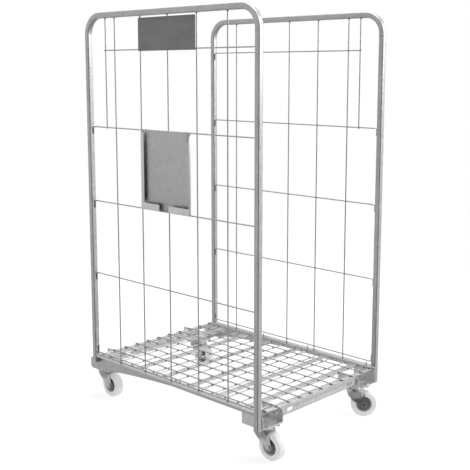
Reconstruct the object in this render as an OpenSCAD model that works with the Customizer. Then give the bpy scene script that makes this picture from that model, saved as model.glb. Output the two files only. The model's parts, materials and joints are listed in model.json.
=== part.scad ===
// Two-sided roll cage container: a wheeled base with a hinged wire deck,
// two tubular side panels with welded wire infill, and four swivel casters.
// Millimetres. Origin on the floor below the middle of the whole length, +Z up,
// the open front faces -Y and the panel with the document holder is at -X.

/* [Overall] */
// Width over the side panels
cage_w = 720; // [690:10:800]
// Length over the posts of a side panel
cage_l = 940; // [900:10:1000]
// Height from the floor to the top of the side panels
cage_h = 1600; // [1500:10:1700]

/* [Side panels] */
// Outside size of the square tube
tube = 22; // [20:1:25]
// Wall thickness of the tube
tube_wall = 1.5; // [1:0.5:2]
// Outside radius of the two top bends
bend_r = 85; // [60:5:110]
// Diameter of the infill wires
wire_d = 5; // [4:0.5:5]
// Bays between the upright wires
bays = 6; // [4:2:8]
// Drop from the top of the panel to the first cross wire
first_wire_drop = 145; // [120:5:180]
// Pitch of the cross wires
cross_pitch = 300; // [260:10:320]
// Height of the lowest cross wire
low_wire_z = 214; // [210:1:240]
// Distance from the post centre to the short upright wire
short_wire_in = 96; // [90:1:120]

/* [Base] */
// Height of the deck's load surface
deck_z = 200; // [195:1:205]
// Thickness of the folded sheet
sheet = 3; // [2:0.5:3]
// Depth of the side rail along its slim front half
rail_depth = 21; // [18:1:26]
// Pitch of the deck wires across the cage
deck_pitch_x = 63; // [60:1:63]
// Bays of the deck along the cage
deck_bays_y = 14; // [10:1:16]
// Width of the flat strips under the deck
strip_w = 30; // [20:1:40]
// Pitch of the flat strips
strip_pitch = 150; // [140:5:150]
// Diameter of the hinge rod
rod_d = 8; // [6:0.5:8]

/* [Casters] */
// Wheel diameter
wheel_d = 105; // [95:1:105]
// Wheel tread width
wheel_w = 34; // [30:1:34]
// Trail of the axle behind the swivel axis
trail = 38; // [34:1:42]
// Height from the floor to the face that the caster bolts to
caster_h = 131; // [130:1:132]
// Distance of the swivel axes from the centre plane
king_x = 270; // [268:1:272]
// Distance of the front swivel axes from the centre
front_king_y = 420; // [415:1:425]
// Distance of the rear swivel axes from the centre
rear_king_y = 490; // [480:1:495]
// Length of the caster plate, along the cage
plate_l = 100; // [95:1:105]
// Width of the caster plate
plate_w = 84; // [80:1:84]
// Resting swivel of the front right caster
parked_angle = 43; // [0:1:90]

/* [Sign and document holder] */
// Width of the sign plate
sign_w = 310; // [280:5:330]
// Height of the sign plate
sign_h = 122; // [100:1:124]
// Width of the document holder
holder_w = 265; // [230:5:280]
// Height of the document holder
holder_h = 304; // [280:1:320]

/* [Hidden] */
$fn = 48;
gap = 0.3;                                   // clearance between moving pieces
run = 0.05;                                  // radial running clearance
post_y = (cage_l - tube) / 2;                // post centre lines
post_face = cage_l / 2 - tube;               // post faces toward the infill
top_z = cage_h - tube / 2;                   // centre line of the top tube
bend_c = bend_r - tube / 2;                  // bend radius at the centre line
web_x = cage_w / 2 - tube;                   // outer face of the rail web
cross_x = web_x + wire_d / 2 + 4;            // plane of the cross wires
upright_x = cross_x - wire_d;                // plane of the upright wires
cross_z = [for (i = [0:3]) cage_h - first_wire_drop - i * cross_pitch];
wire_bend = 8;                               // bend radius of the wire ends
wire_foot = 22;                              // straight foot below the bend
rail_top = deck_z - 3;
long_wire_z = deck_z - wire_d / 2;           // deck wires along the cage
short_wire_z = long_wire_z - wire_d;         // deck wires across the cage
strip_top = short_wire_z - wire_d / 2;
beam_top = strip_top - 3 - gap;              // what the deck lies on
deck_x = 5 * deck_pitch_x;                   // outermost long wire
deck_y = cage_l / 2 - 4;                     // outermost cross wire
rod_x = -(web_x - sheet - 9);                // hinge axis
eye_y = [-440, -150, 106, 410];
hook_y = [-433, -127, 127, 433];
lug_y = [-452, -290, -30, 250, 452];
strip_y = [for (i = [-2.5:1:2.5]) i * strip_pitch];
beam_y = cage_l / 2 - 20;                    // centre of the end strips
bracket_in = king_x - plate_w / 2 - 3;       // inner face of the brackets
rail_end = cage_l / 2 + 42;                  // rear end of the side rails
// the posts' middle lies this far in front of the middle of the whole length
mid_y = (rear_king_y + plate_l / 2 - front_king_y - trail - wheel_d / 2) / 2;
bolt_dx = plate_w / 2 - 12;
bolt_dy = plate_l / 2 - 11;
plate_t = 3.5;
crown_z = 115.4;                             // top of the fork crown
leg_in = 19.5;                               // inner face of the fork legs
leg_t = 3;
axle_z = wheel_d / 2;
// side, end and resting swivel of each caster
corners = [[-1, -1, 0], [1, -1, parked_angle], [-1, 1, 0], [1, 1, 0]];

// ---------------------------------------------------------------- helpers

module bar_x(x0, x1, y, z, d) translate([x0, y, z]) rotate([0, 90, 0]) cylinder(d = d, h = x1 - x0);
module bar_y(y0, y1, x, z, d) translate([x, y0, z]) rotate([-90, 0, 0]) cylinder(d = d, h = y1 - y0);
module bar_z(z0, z1, x, y, d) translate([x, y, z0]) cylinder(d = d, h = z1 - z0);

// a plate with rounded corners lying flat
module plate(w, l, t, r) linear_extrude(t) rounded(w, l, r);
module rounded(w, l, r) {
    square([w - 2 * r, l], center = true);
    square([w, l - 2 * r], center = true);
    for (x = [-1, 1], y = [-1, 1]) translate([x * (w / 2 - r), y * (l / 2 - r)]) circle(r);
}

// quarter ring from +Y to +Z about the X axis
module quarter_ring(r) rotate([90, 0, 90]) rotate_extrude(angle = 90) translate([r, 0]) children();

function king(i) = [corners[i][0] * king_x, corners[i][1] < 0 ? -front_king_y : rear_king_y, 0];
module fixed_at(i) translate(king(i)) children();
module swivelled_at(i) fixed_at(i) rotate([0, 0, corners[i][2]]) children();
module centred() translate([0, -mid_y, 0]) children();
module mirrored() mirror([1, 0, 0]) children();
module half_turn() rotate([0, 0, 180]) children();

// ------------------------------------------------------------ side panels

module bent_tube(s, front_z, rear_z) {
    for (leg = [[-1, front_z], [1, rear_z]])
        translate([-s / 2, leg[0] * post_y - s / 2, leg[1]])
            cube([s, s, top_z - bend_c - leg[1]]);
    translate([-s / 2, -(post_y - bend_c), top_z - s / 2]) cube([s, 2 * (post_y - bend_c), s]);
    for (end = [0, 1]) mirror([0, end, 0])
        translate([0, post_y - bend_c, top_z - bend_c])
            quarter_ring(bend_c) square(s, center = true);
}

// one length of square tube bent into a hoop, longer in its front leg
module side_frame()
    color("silver") translate([-(cage_w - tube) / 2, 0, 0]) difference() {
        bent_tube(tube, caster_h, caster_h + 42);
        bent_tube(tube - 2 * tube_wall, caster_h - 1, caster_h + 41);
    }

// upright wires, with the short one beside the rear post
module upright_wires()
    color("lightgray") {
        for (i = [1:bays - 1])
            bar_z(rail_top, cage_h - tube, -upright_x, -post_y + i * 2 * post_y / bays, wire_d);
        bar_z(cross_z[1] - 6, cage_h - tube, -upright_x, post_y - short_wire_in, wire_d);
    }

// end of a cross wire, turned down along the face of the +Y post
module wire_end(z) {
    y = post_face - wire_d / 2 - 0.02;
    translate([-cross_x, y - wire_bend, z - wire_bend]) quarter_ring(wire_bend) circle(d = wire_d);
    bar_z(z - wire_bend - wire_foot, z - wire_bend, -cross_x, y, wire_d);
}

module cross_wires()
    color("lightgray") {
        reach = post_face - wire_d / 2 - 0.02 - wire_bend;
        for (i = [1:3]) {
            bar_y(-reach, reach, -cross_x, cross_z[i], wire_d);
            for (end = [0, 1]) mirror([0, end, 0]) wire_end(cross_z[i]);
        }
        // the first wire stops at the short upright
        bar_y(-reach, post_y - short_wire_in + 4, -cross_x, cross_z[0], wire_d);
        mirror([0, 1, 0]) wire_end(cross_z[0]);
        // the lowest wire turns up instead
        bar_y(-reach, reach, -cross_x, low_wire_z, wire_d);
        for (end = [0, 1]) mirror([0, end, 0])
            translate([0, 0, 2 * low_wire_z]) mirror([0, 0, 1]) wire_end(low_wire_z);
    }

module left_side_frame() side_frame();
module right_side_frame() mirrored() side_frame();
module left_upright_wires() upright_wires();
module left_cross_wires() cross_wires();
module right_upright_wires() half_turn() upright_wires();
module right_cross_wires() half_turn() cross_wires();

// sheet sign between the top tube and the first cross wire, with two clips
// folded under the wire
module sign_plate() {
    t = 1.5;
    x = cross_x + wire_d / 2 + t;
    low = cross_z[0] - wire_d / 2 - 3;
    color("dimgray") {
        translate([-x, 0, low + sign_h / 2]) rotate([90, 0, 90]) plate(sign_w, sign_h, t, 4);
        for (side = [-1, 1]) translate([-x, side * (sign_w / 2 - 16) - 12, low])
            cube([t + wire_d + 1, 24, t]);
    }
}

// open tray for papers, hung over the second cross wire by two hooks
module document_holder() {
    t = 1;
    back = cross_x + wire_d / 2 + gap + t;
    front = cage_w / 2 - 0.5;
    top = cross_z[1] + wire_d / 2 + gap + t;
    low = top - holder_h;
    mid = 5;
    lip_h = 26;
    color("gainsboro") translate([0, mid, 0]) {
        translate([-back, -holder_w / 2, low]) cube([t, holder_w, holder_h - t]);
        for (side = [0, 1]) mirror([0, side, 0])
            translate([-front, holder_w / 2 - t, low]) cube([front - back + t, t, holder_h - 14]);
        translate([-front, -holder_w / 2, low]) cube([front - back + t, holder_w, t]);
        translate([-front, -holder_w / 2, low]) cube([t, 110, lip_h]);
        translate([-front, holder_w / 2 - 103, low]) cube([t, 103, lip_h]);
        for (side = [-1, 1]) translate([-back, side * 108 - 9, 0]) {
            translate([0, 0, top - t]) cube([t + 2 * gap + wire_d + t, 18, t]);
            translate([t + 2 * gap + wire_d, 0, top - 16]) cube([t, 18, 16]);
            translate([0, 0, top - 16]) cube([t, 18, 16]);
        }
    }
}

// ------------------------------------------------------------------- base

// rail web seen from the side: slim in front, deep over the rear caster
module rail_outline()
    polygon([[-cage_l / 2, rail_top], [-cage_l / 2, rail_top - rail_depth],
             [0, rail_top - rail_depth], [130, rail_top - 29], [280, rail_top - 42],
             [363, rail_top - 53], [400, caster_h], [rail_end - 10, caster_h],
             [rail_end, caster_h + 10], [rail_end, rail_top - 25], [cage_l / 2, rail_top]]);

module side_rail()
    color("darkgray") {
        translate([-web_x, 0, 0]) rotate([90, 0, 90]) linear_extrude(sheet) rail_outline();
        translate([-web_x - 18, -post_face, rail_top - sheet]) cube([18, 2 * post_face, sheet]);
    }
module left_side_rail() side_rail();
module right_side_rail() mirrored() side_rail();

// folded channel along the front edge, with a hand hole near each end
module cross_member() {
    face = cage_l / 2 - 8;
    depth = 37;
    color("gainsboro") difference() {
        union() {
            translate([-bracket_in, -face, beam_top - depth]) cube([2 * bracket_in, 2, depth]);
            translate([-bracket_in, -face, beam_top - 2]) cube([2 * bracket_in, 32, 2]);
            translate([-bracket_in, -face, beam_top - depth]) cube([2 * bracket_in, 14, 2]);
        }
        for (side = [-1, 1], end = [-1, 1])
            translate([side * (bracket_in - 48) + end * 9, -face - 1, beam_top - 20])
                rotate([-90, 0, 0]) cylinder(d = 14, h = 4);
        for (side = [-1, 1])
            translate([side * (bracket_in - 48) - 9, -face - 1, beam_top - 27]) cube([18, 4, 14]);
    }
}
module front_cross_member() cross_member();
module rear_cross_member() half_turn() cross_member();

// bolt holes of a caster, cut through a plate
module bolt_holes(d)
    for (x = [-1, 1], y = [-1, 1]) translate([x * bolt_dx, y * bolt_dy, caster_h - 10])
        cylinder(d = d, h = 20);

// sheet pocket over a left-hand caster: a floor, an inner wall of full length
// and an outer wall, outer_h high, that ends with the rail
module bracket(i, outer_h) {
    y0 = king(i)[1] - plate_l / 2;
    wall_x = web_x - sheet;
    wall_l = min(plate_l, rail_end - y0);
    slant = plate_l - wall_l;
    color("silver") difference() {
        union() {
            translate([0, y0, caster_h]) linear_extrude(sheet)
                polygon([[-wall_x, 0], [-wall_x, wall_l], [-wall_x + slant, plate_l],
                         [-bracket_in, plate_l], [-bracket_in, 0]]);
            translate([-wall_x, y0, caster_h]) cube([sheet, wall_l, outer_h]);
            translate([-bracket_in - sheet, y0, 0]) rotate([90, 0, 90]) linear_extrude(sheet)
                polygon([[0, caster_h], [plate_l, caster_h], [plate_l, caster_h + 52],
                         [10, caster_h + 52], [0, caster_h + 44]]);
        }
        translate([-king_x, king(i)[1], 0]) bolt_holes(9);
        translate([-king_x, king(i)[1], caster_h - 1]) cylinder(d = 20, h = 5);
    }
}
module front_left_bracket() bracket(0, 52);
module front_right_bracket() mirrored() bracket(0, 52);
module rear_left_bracket() bracket(2, 30);
module rear_right_bracket() mirrored() bracket(2, 30);

// caps that close the short rear legs
module rear_post_feet()
    color("darkgray") for (side = [-1, 1])
        translate([side * (cage_w - tube) / 2, post_y, caster_h + 40.5])
            cube([tube, tube, 3], center = true);

// tabs on the right rail that carry the free edge of the deck
module deck_rests()
    color("silver") for (y = [strip_y[0], strip_y[2], strip_y[3], strip_y[5]])
        translate([web_x - sheet - 20, y - 14, beam_top - sheet]) cube([20, 28, sheet]);

module hinge_rod() color("silver") bar_y(-458, 458, rod_x, short_wire_z, rod_d);

// lugs that hold the rod to the left rail
module hinge_lugs()
    color("silver") for (y = lug_y) difference() {
        union() {
            bar_y(y - 2, y + 2, rod_x, short_wire_z, 16);
            translate([-(web_x - sheet), y - 2, short_wire_z - 6.5])
                cube([web_x - sheet + rod_x, 4, 13]);
        }
        bar_y(y - 3, y + 3, rod_x, short_wire_z, rod_d + 0.04);
    }

// ------------------------------------------------------------------- deck

module deck_long_wires()
    color("gray") for (i = [-5:5]) bar_y(-deck_y - 3, deck_y + 3, i * deck_pitch_x, long_wire_z, wire_d);

// wires across the deck, doubled along both ends
module deck_short_wires()
    color("lightgray") {
        for (i = [0:deck_bays_y])
            bar_x(-deck_x - 1.5, deck_x + 3, -deck_y + i * 2 * deck_y / deck_bays_y, short_wire_z, wire_d);
        for (end = [-1, 1]) bar_x(-deck_x - 1.5, deck_x + 3, end * (deck_y - 9), short_wire_z, wire_d);
    }

module deck_strips()
    color("silver") {
        for (y = strip_y) translate([-deck_x, y - strip_w / 2, strip_top - 3])
            cube([2 * deck_x + 3, strip_w, 3]);
        for (end = [-1, 1]) translate([-deck_x, end * beam_y - 10, strip_top - 3])
            cube([2 * deck_x + 3, 20, 3]);
    }

// coiled wire ends that turn on the hinge rod
module deck_hinge_eyes()
    color("silver") for (y = eye_y) {
        difference() {
            bar_y(y - 7.5, y + 7.5, rod_x, short_wire_z, rod_d + 8.6);
            bar_y(y - 9, y + 9, rod_x, short_wire_z, rod_d + 2 * run);
        }
        bar_x(rod_x + 6, rod_x + 74, y, short_wire_z, wire_d);
    }

// wire ends turned up at the free edge, to lift the deck by
module deck_hooks()
    color("silver") for (y = hook_y) {
        bar_x(deck_x - 64, deck_x + 6, y, short_wire_z, wire_d);
        translate([deck_x + 6, y, short_wire_z + wire_bend]) rotate([0, 0, -90])
            mirror([0, 0, 1]) quarter_ring(wire_bend) circle(d = wire_d);
        bar_z(short_wire_z + wire_bend, deck_z + 14, deck_x + 6 + wire_bend, y, wire_d);
    }

// ---------------------------------------------------------------- casters

// bolts through the bracket and the caster plate, nuts below
module mounting_bolts()
    color("silver") for (i = [0:3], x = [-1, 1], y = [-1, 1])
        fixed_at(i) translate([x * bolt_dx, y * bolt_dy, 0]) {
            translate([0, 0, caster_h + sheet]) cylinder(d = 15, h = 5.3, $fn = 6);
            translate([0, 0, caster_h - plate_t - 9]) cylinder(d = 8, h = sheet + plate_t + 9);
        }
module mounting_nuts()
    color("silver") for (i = [0:3], x = [-1, 1], y = [-1, 1])
        fixed_at(i) translate([x * bolt_dx, y * bolt_dy, caster_h - plate_t - 6.5]) difference() {
            cylinder(d = 15, h = 6.5, $fn = 6);
            translate([0, 0, -1]) cylinder(d = 8.1, h = 9);
        }

// rivets that the forks turn on
module caster_kingpins()
    color("silver") for (i = [0:3]) fixed_at(i) {
        bar_z(crown_z - 8, caster_h, 0, 0, 12);
        bar_z(crown_z - 10, crown_z - 3.4 - gap, 0, 0, 24);
    }

// top plate with the pressed cup that the balls run under
module caster_plate()
    color("silver") difference() {
        union() {
            translate([0, 0, caster_h - plate_t]) plate(plate_w, plate_l, plate_t, 8);
            bar_z(crown_z + 6.3, caster_h - plate_t, 0, 0, 62);
        }
        bar_z(crown_z + 6, caster_h - plate_t, 0, 0, 36);
        bar_z(crown_z, caster_h + 1, 0, 0, 12 + 2 * run);
        bolt_holes(9);
    }

// fork outline from the side: crown at the top, axle boss trailing
module fork_outline()
    hull() {
        translate([-6, crown_z - 4.5]) square([76, 5], center = true);
        translate([-trail, axle_z]) circle(13, $fn = 32);
    }

// crown, skirt round the balls and two legs
module caster_fork()
    color("silver") difference() {
        union() {
            bar_z(crown_z - 3.4, crown_z, 0, 0, 78);
            difference() {
                bar_z(crown_z - 3.4, crown_z + 8, 0, 0, 78);
                bar_z(crown_z - 4, crown_z + 9, 0, 0, 72);
            }
            for (side = [-leg_in - leg_t, leg_in]) translate([side, 0, 0])
                rotate([90, 0, 90]) linear_extrude(leg_t) fork_outline();
        }
        bar_z(crown_z - 6, crown_z + 2, 0, 0, 12 + 2 * run);
        bar_x(-leg_in - leg_t - 1, leg_in + leg_t + 1, -trail, axle_z, 10 + 2 * run);
    }

module bearing_balls()
    color("gainsboro") for (a = [0:22.5:337.5])
        rotate([0, 0, a]) translate([24, 0, crown_z + 3]) sphere(3, $fn = 24);

module axle_bolt()
    color("silver") {
        bar_x(-leg_in - leg_t, leg_in + leg_t + 11, -trail, axle_z, 10);
        translate([-leg_in - leg_t - 6, -trail, axle_z]) rotate([0, 90, 0])
            cylinder(d = 19, h = 6, $fn = 6);
    }
module axle_nut()
    color("silver") difference() {
        translate([leg_in + leg_t, -trail, axle_z]) rotate([0, 90, 0])
            cylinder(d = 19, h = 8, $fn = 6);
        bar_x(leg_in, leg_in + leg_t + 9, -trail, axle_z, 10.1);
    }
module axle_bush()
    color("dimgray") difference() {
        bar_x(-leg_in, leg_in, -trail, axle_z, 14);
        bar_x(-leg_in - 1, leg_in + 1, -trail, axle_z, 10.1);
    }

// moulded wheel: narrow web, deep recess each side, rounded tread edges
module caster_wheel()
    color("whitesmoke") translate([0, -trail, axle_z]) rotate([0, 90, 0]) rotate_extrude($fn = 96)
        difference() {
            union() {
                translate([7 + run, -18]) square([7, 36]);
                translate([12, -5]) square([24, 10]);
                translate([30, -wheel_w / 2]) square([wheel_d / 2 - 34, wheel_w]);
                translate([wheel_d / 2 - 4, -wheel_w / 2 + 4]) square([4, wheel_w - 8]);
                for (side = [-1, 1]) translate([wheel_d / 2 - 4, side * (wheel_w / 2 - 4)]) circle(4);
            }
        }

module front_left_plate() fixed_at(0) caster_plate();
module front_right_plate() fixed_at(1) caster_plate();
module rear_left_plate() fixed_at(2) caster_plate();
module rear_right_plate() fixed_at(3) caster_plate();
module front_left_fork() swivelled_at(0) caster_fork();
module front_right_fork() swivelled_at(1) caster_fork();
module rear_left_fork() swivelled_at(2) caster_fork();
module rear_right_fork() swivelled_at(3) caster_fork();
module front_left_balls() swivelled_at(0) bearing_balls();
module front_right_balls() swivelled_at(1) bearing_balls();
module rear_left_balls() swivelled_at(2) bearing_balls();
module rear_right_balls() swivelled_at(3) bearing_balls();
module front_left_axle_bolt() swivelled_at(0) axle_bolt();
module front_right_axle_bolt() swivelled_at(1) axle_bolt();
module rear_left_axle_bolt() swivelled_at(2) axle_bolt();
module rear_right_axle_bolt() swivelled_at(3) axle_bolt();
module front_left_axle_nut() swivelled_at(0) axle_nut();
module front_right_axle_nut() swivelled_at(1) axle_nut();
module rear_left_axle_nut() swivelled_at(2) axle_nut();
module rear_right_axle_nut() swivelled_at(3) axle_nut();
module front_left_bush() swivelled_at(0) axle_bush();
module front_right_bush() swivelled_at(1) axle_bush();
module rear_left_bush() swivelled_at(2) axle_bush();
module rear_right_bush() swivelled_at(3) axle_bush();
module front_left_wheel() swivelled_at(0) caster_wheel();
module front_right_wheel() swivelled_at(1) caster_wheel();
module rear_left_wheel() swivelled_at(2) caster_wheel();
module rear_right_wheel() swivelled_at(3) caster_wheel();

centred() left_side_frame();
centred() right_side_frame();
centred() left_upright_wires();
centred() left_cross_wires();
centred() right_upright_wires();
centred() right_cross_wires();
centred() sign_plate();
centred() document_holder();
centred() left_side_rail();
centred() right_side_rail();
centred() front_cross_member();
centred() rear_cross_member();
centred() front_left_bracket();
centred() front_right_bracket();
centred() rear_left_bracket();
centred() rear_right_bracket();
centred() rear_post_feet();
centred() deck_rests();
centred() hinge_rod();
centred() hinge_lugs();
centred() deck_long_wires();
centred() deck_short_wires();
centred() deck_strips();
centred() deck_hinge_eyes();
centred() deck_hooks();
centred() mounting_bolts();
centred() mounting_nuts();
centred() caster_kingpins();
centred() front_left_plate();
centred() front_right_plate();
centred() rear_left_plate();
centred() rear_right_plate();
centred() front_left_fork();
centred() front_right_fork();
centred() rear_left_fork();
centred() rear_right_fork();
centred() front_left_balls();
centred() front_right_balls();
centred() rear_left_balls();
centred() rear_right_balls();
centred() front_left_axle_bolt();
centred() front_right_axle_bolt();
centred() rear_left_axle_bolt();
centred() rear_right_axle_bolt();
centred() front_left_axle_nut();
centred() front_right_axle_nut();
centred() rear_left_axle_nut();
centred() rear_right_axle_nut();
centred() front_left_bush();
centred() front_right_bush();
centred() rear_left_bush();
centred() rear_right_bush();
centred() front_left_wheel();
centred() front_right_wheel();
centred() rear_left_wheel();
centred() rear_right_wheel();
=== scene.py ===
"""Looks of the roll cage container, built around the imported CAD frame.

Metres throughout. Every piece replaces a CAD node at the CAD node's own place:
drawn tube, welded wire, folded sheet, pressed forks, turned wheels and fasteners.
"""

import json
import math

import bmesh
import bpy
from mathutils import Matrix, Vector


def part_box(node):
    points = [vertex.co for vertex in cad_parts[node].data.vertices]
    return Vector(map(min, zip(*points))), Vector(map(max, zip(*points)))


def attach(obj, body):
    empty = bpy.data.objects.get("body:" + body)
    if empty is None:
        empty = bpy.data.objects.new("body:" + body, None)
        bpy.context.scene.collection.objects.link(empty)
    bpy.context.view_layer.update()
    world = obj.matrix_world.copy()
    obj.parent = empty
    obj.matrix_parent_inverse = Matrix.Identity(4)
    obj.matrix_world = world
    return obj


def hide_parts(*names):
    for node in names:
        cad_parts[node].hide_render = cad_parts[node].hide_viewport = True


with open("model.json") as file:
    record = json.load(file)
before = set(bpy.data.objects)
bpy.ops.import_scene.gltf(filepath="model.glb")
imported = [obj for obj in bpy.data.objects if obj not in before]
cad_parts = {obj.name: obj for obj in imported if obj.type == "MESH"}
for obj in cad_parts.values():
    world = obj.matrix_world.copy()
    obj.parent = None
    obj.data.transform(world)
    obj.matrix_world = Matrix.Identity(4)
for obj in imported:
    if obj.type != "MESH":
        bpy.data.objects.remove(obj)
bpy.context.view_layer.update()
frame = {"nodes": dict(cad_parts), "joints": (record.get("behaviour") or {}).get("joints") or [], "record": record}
MM = 0.001
TAU = 2 * math.pi
EVEN = (1, 1, 1)


def mm(*values):
    """Millimetres as metres."""
    return tuple(value * MM for value in values)


BODY_OF = {node: body for body, nodes in frame["record"]["behaviour"]["bodies"].items() for node in nodes}
JOINTS = {joint["name"]: joint for joint in frame["joints"]}

# ---------------- driving sizes

POSTS_LO, POSTS_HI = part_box("left_side_frame")
SHIFT = Vector((0, (POSTS_LO.y + POSTS_HI.y) / 2, 0))


def cad(node):
    """A node's box, measured from the middle between the posts."""
    low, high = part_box(node)
    return low - SHIFT, high - SHIFT


def joint_place(name):
    return Vector(JOINTS[name]["pos_m"]) - SHIFT


FRAME_LO, FRAME_HI = cad("left_side_frame")
TUBE = FRAME_HI.x - FRAME_LO.x
TUBE_X = -(FRAME_LO.x + TUBE / 2)
POST_Y = FRAME_HI.y - TUBE / 2
POST_FACE = POST_Y - TUBE / 2
TOP_Z = FRAME_HI.z
BEND_R = 85 * MM - TUBE / 2
TUBE_WALL = 1.5 * MM

UPRIGHT_LO, UPRIGHT_HI = cad("left_upright_wires")
WIRE = (UPRIGHT_HI.x - UPRIGHT_LO.x) / 2
UPRIGHT_X = -(UPRIGHT_LO.x + WIRE)
CROSS_LO, CROSS_HI = cad("left_cross_wires")
CROSS_X = -(CROSS_LO.x + WIRE)
FOOT_Y = CROSS_HI.y - WIRE
BAYS = 6
CROSS_Z = [CROSS_HI.z - WIRE - i * 300 * MM for i in range(4)]
LOW_Z = CROSS_LO.z + WIRE
SHORT_Y = UPRIGHT_HI.y - WIRE
SHORT_LOW = CROSS_Z[1] - 6 * MM
WIRE_BEND = 8 * MM
WIRE_FOOT = 30 * MM

LONG_LO, LONG_HI = cad("deck_long_wires")
DECK_X = LONG_HI.x - WIRE
LONG_Z = LONG_HI.z - WIRE
SHORT_Z = LONG_Z - 2 * WIRE
DECK_Y = LONG_HI.y - 3 * MM
DECK_BAYS = 14
STRIP_LO, STRIP_HI = cad("deck_strips")
STRIPS = [(i * 150 * MM, 30 * MM) for i in (-2.5, -1.5, -0.5, 0.5, 1.5, 2.5)]
STRIPS += [(end * (STRIP_HI.y - 10 * MM), 20 * MM) for end in (-1, 1)]

ROD_LO, ROD_HI = cad("hinge_rod")
ROD_R = (ROD_HI.x - ROD_LO.x) / 2
ROD_X = ROD_LO.x + ROD_R
ROD_Z = ROD_LO.z + ROD_R
EYE_Y = mm(-440, -150, 106, 410)
HOOK_Y = mm(-433, -127, 127, 433)
LUG_Y = mm(-452, -290, -30, 250, 452)

CORNERS = ("front_left", "front_right", "rear_left", "rear_right")
SHEET = 3 * MM
RAIL_DEPTHS = [(0, 21), (130, 29), (280, 42), (363, 53)]
RAIL_FULL_DEPTH_Y = 400 * MM
BOLT_DX, BOLT_DY = mm(30, 39)
BOLT_R, BOLT_HOLE, BOLT_HEX, BOLT_HEAD, BOLT_NUT = mm(4, 4.05, 7.5, 5.3, 6.5)
AXLE_R, AXLE_HOLE, AXLE_HEX, AXLE_HEAD, AXLE_NUT = mm(5, 5.05, 9.5, 6, 8)


# ---------------- mesh helpers

def to_mesh(name, bm, smooth_angle=35):
    """A finished mesh from a bmesh: outward faces, smooth, sharp only at real edges."""
    bmesh.ops.remove_doubles(bm, verts=bm.verts, dist=1e-6)
    bmesh.ops.recalc_face_normals(bm, faces=bm.faces)
    mesh = bpy.data.meshes.new(name)
    bm.to_mesh(mesh)
    bm.free()
    mesh.shade_smooth()
    mesh.set_sharp_from_angle(angle=math.radians(smooth_angle))
    return mesh


def add_object(name, data, *materials):
    obj = bpy.data.objects.new(name, data)
    bpy.context.scene.collection.objects.link(obj)
    for material in materials:
        data.materials.append(material)
    return obj


def coat(material, *parts):
    for part in parts:
        part.data.materials.append(material)


def moved(x, y, z):
    return Matrix.Translation((x, y, z))


def stand_for(obj, node):
    """The piece takes the place and the body of one CAD node, whose own mesh is hidden."""
    obj.data.transform(Matrix.Translation(SHIFT))
    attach(obj, BODY_OF[node])
    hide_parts(node)


def form(node, bm, *materials, smooth_angle=35):
    """The finished piece of one CAD node, from a bmesh."""
    stand_for(add_object(node + "_form", to_mesh(node, bm, smooth_angle), *materials), node)


def joined_form(node, parts):
    """The finished piece of one CAD node, from several parts."""
    stand_for(join(node + "_form", parts), node)


def folded_form(node, sheet, cutters, material, edge):
    """The finished piece of one CAD node, from a folded sheet and what is cut out of it."""
    carve(sheet, cutters)
    coat(material, sheet)
    stand_for(soften_edges(sheet, edge), node)


def evaluated_mesh(obj):
    """What an object's modifiers or curve settings make of it."""
    depsgraph = bpy.context.evaluated_depsgraph_get()
    return bpy.data.meshes.new_from_object(obj.evaluated_get(depsgraph))


def apply_modifiers(obj):
    mesh = evaluated_mesh(obj)
    obj.modifiers.clear()
    obj.data = mesh


def soften_edges(obj, width, segments=2, angle=40):
    """Rounds the sharp edges of a sheet or block part."""
    bevel = obj.modifiers.new("edges", "BEVEL")
    bevel.width = width
    bevel.segments = segments
    bevel.limit_method = "ANGLE"
    bevel.angle_limit = math.radians(angle)
    bevel.use_clamp_overlap = True
    apply_modifiers(obj)
    obj.data.shade_smooth()
    obj.data.set_sharp_from_angle(angle=math.radians(angle))
    return obj


def carve(obj, cutters):
    """Cuts shapes out of an object and removes the cutters."""
    for cutter in cutters:
        boolean = obj.modifiers.new("cut", "BOOLEAN")
        boolean.operation = "DIFFERENCE"
        boolean.solver = "EXACT"
        boolean.object = cutter
    apply_modifiers(obj)
    for cutter in cutters:
        bpy.data.objects.remove(cutter)


def bridge(bm, a, b):
    """Faces between two rings of as many points."""
    for i in range(len(a)):
        j = (i + 1) % len(a)
        bm.faces.new((a[i], a[j], b[j], b[i]))


def prism(name, outline, low, high, axes="XYZ"):
    """An object extruded from a 2D outline. axes says where outline x, y and the length go."""
    bm = bmesh.new()
    order = ["XYZ".index(a) for a in axes]
    rings = []
    for level in (low, high):
        ring = []
        for x, y in outline:
            place = [0.0, 0.0, 0.0]
            for value, index in zip((x, y, level), order):
                place[index] = value
            ring.append(bm.verts.new(place))
        rings.append(ring)
        bm.faces.new(ring)
    bridge(bm, *rings)
    return add_object(name, to_mesh(name, bm))


def box_at(name, low, high):
    outline = [(low[0], low[1]), (high[0], low[1]), (high[0], high[1]), (low[0], high[1])]
    return prism(name, outline, low[2], high[2])


def circle_points(radius, count, centre=(0.0, 0.0)):
    return [(centre[0] + radius * math.cos(TAU * i / count), centre[1] + radius * math.sin(TAU * i / count))
            for i in range(count)]


def rounded_rect(width, height, radius, steps=5):
    """Corner-rounded rectangle, counter-clockwise."""
    points = []
    for quarter, (sx, sy) in enumerate(((1, 1), (-1, 1), (-1, -1), (1, -1))):
        cx, cy = sx * (width / 2 - radius), sy * (height / 2 - radius)
        for i in range(steps + 1):
            a = (quarter + i / steps) * math.pi / 2
            points.append((cx + radius * math.cos(a), cy + radius * math.sin(a)))
    return points


def stadium(length, height, centre, steps=10):
    """A slot with round ends."""
    points = []
    for side in (0, 1):
        cx = centre[0] + (1 - 2 * side) * (length - height) / 2
        for i in range(steps + 1):
            a = -math.pi / 2 + side * math.pi + math.pi * i / steps
            points.append((cx + height / 2 * math.cos(a), centre[1] + height / 2 * math.sin(a)))
    return points


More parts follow.
